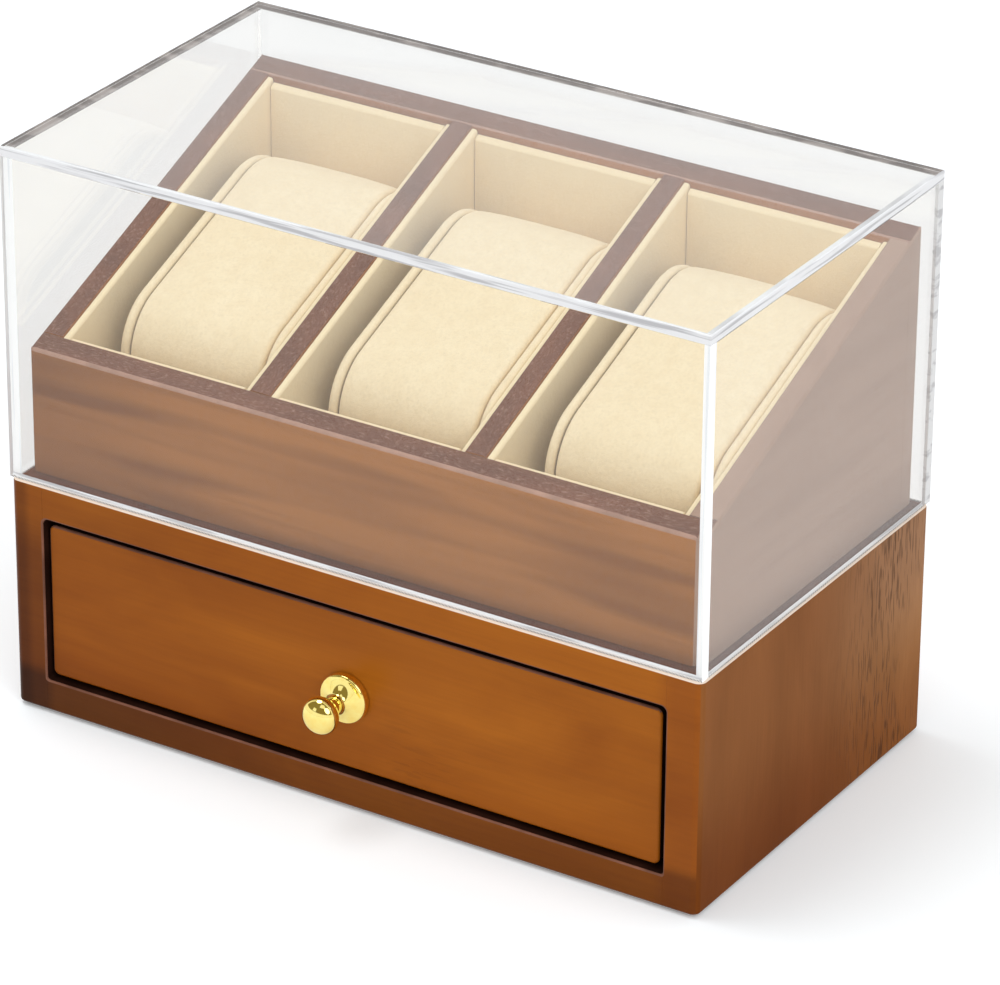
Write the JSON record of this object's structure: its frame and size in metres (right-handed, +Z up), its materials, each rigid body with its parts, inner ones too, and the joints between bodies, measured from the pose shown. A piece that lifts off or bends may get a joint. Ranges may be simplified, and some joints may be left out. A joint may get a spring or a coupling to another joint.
{
  "type": "watch display case",
  "caption": "Table-top watch display case: lacquered base cabinet with a drawer, sloping walnut rack with velvet watch pillows, and a clear cover that lifts off.",
  "frame": {"origin": "middle of the underside, on the surface that the case stands on", "axes": "+X to the right along the width, +Y to the back, +Z up; the drawer opens towards -Y"},
  "size_m": [0.23, 0.1446, 0.1774],
  "materials": {
    "lacquered_wood": "reddish brown stain under satin lacquer",
    "drawer_wood": "bare light wood, sanded",
    "walnut": "walnut, satin",
    "velvet": "cream suede-like velvet",
    "brass": "polished",
    "screw_steel": "plated",
    "clear_acrylic": "clear, polished faces and edges",
    "base_felt": "thin black felt"
  },
  "bodies": {
    "case": {"base_felt": "base_felt", "cabinet_left_side": "lacquered_wood", "cabinet_right_side": "lacquered_wood", "cabinet_top_board": "lacquered_wood", "cabinet_bottom_board": "lacquered_wood", "cabinet_back_panel": "lacquered_wood", "rack_front": "walnut", "rack_back": "walnut", "rack_left_side": "walnut", "rack_right_side": "walnut", "rack_divider_1": "walnut", "rack_divider_2": "walnut", "left_slot_floor": "walnut", "middle_slot_floor": "walnut", "right_slot_floor": "walnut", "left_slot_floor_lining": "velvet", "left_slot_left_lining": "velvet", "left_slot_right_lining": "velvet", "left_slot_front_lining": "velvet", "left_slot_back_lining": "velvet", "middle_slot_floor_lining": "velvet", "middle_slot_left_lining": "velvet", "middle_slot_right_lining": "velvet", "middle_slot_front_lining": "velvet", "middle_slot_back_lining": "velvet", "right_slot_floor_lining": "velvet", "right_slot_left_lining": "velvet", "right_slot_right_lining": "velvet", "right_slot_front_lining": "velvet", "right_slot_back_lining": "velvet"},
    "drawer": {"drawer_front": "lacquered_wood", "drawer_left_side": "drawer_wood", "drawer_right_side": "drawer_wood", "drawer_back": "drawer_wood", "drawer_bottom": "drawer_wood", "drawer_floor_lining": "velvet", "knob": "brass", "knob_screw": "screw_steel"},
    "cover": {"cover_top": "clear_acrylic", "cover_front": "clear_acrylic", "cover_back": "clear_acrylic", "cover_left": "clear_acrylic", "cover_right": "clear_acrylic"},
    "left_pillow": {"left_watch_pillow": "velvet"},
    "middle_pillow": {"middle_watch_pillow": "velvet"},
    "right_pillow": {"right_watch_pillow": "velvet"}
  },
  "joints": [
    {"name": "drawer_slide", "type": "slide", "parent": "case", "child": "drawer", "axis": [0, -1, 0], "range_m": [0, 0.09]},
    {"name": "cover_lift", "type": "slide", "parent": "case", "child": "cover", "axis": [0, 0, 1], "range_m": [0, 0.11]},
    {"name": "left_pillow_lift", "type": "slide", "parent": "case", "child": "left_pillow", "axis": [0, 0, 1], "range_m": [0, 0.028]},
    {"name": "middle_pillow_lift", "type": "slide", "parent": "case", "child": "middle_pillow", "axis": [0, 0, 1], "range_m": [0, 0.028]},
    {"name": "right_pillow_lift", "type": "slide", "parent": "case", "child": "right_pillow", "axis": [0, 0, 1], "range_m": [0, 0.028]}
  ]
}
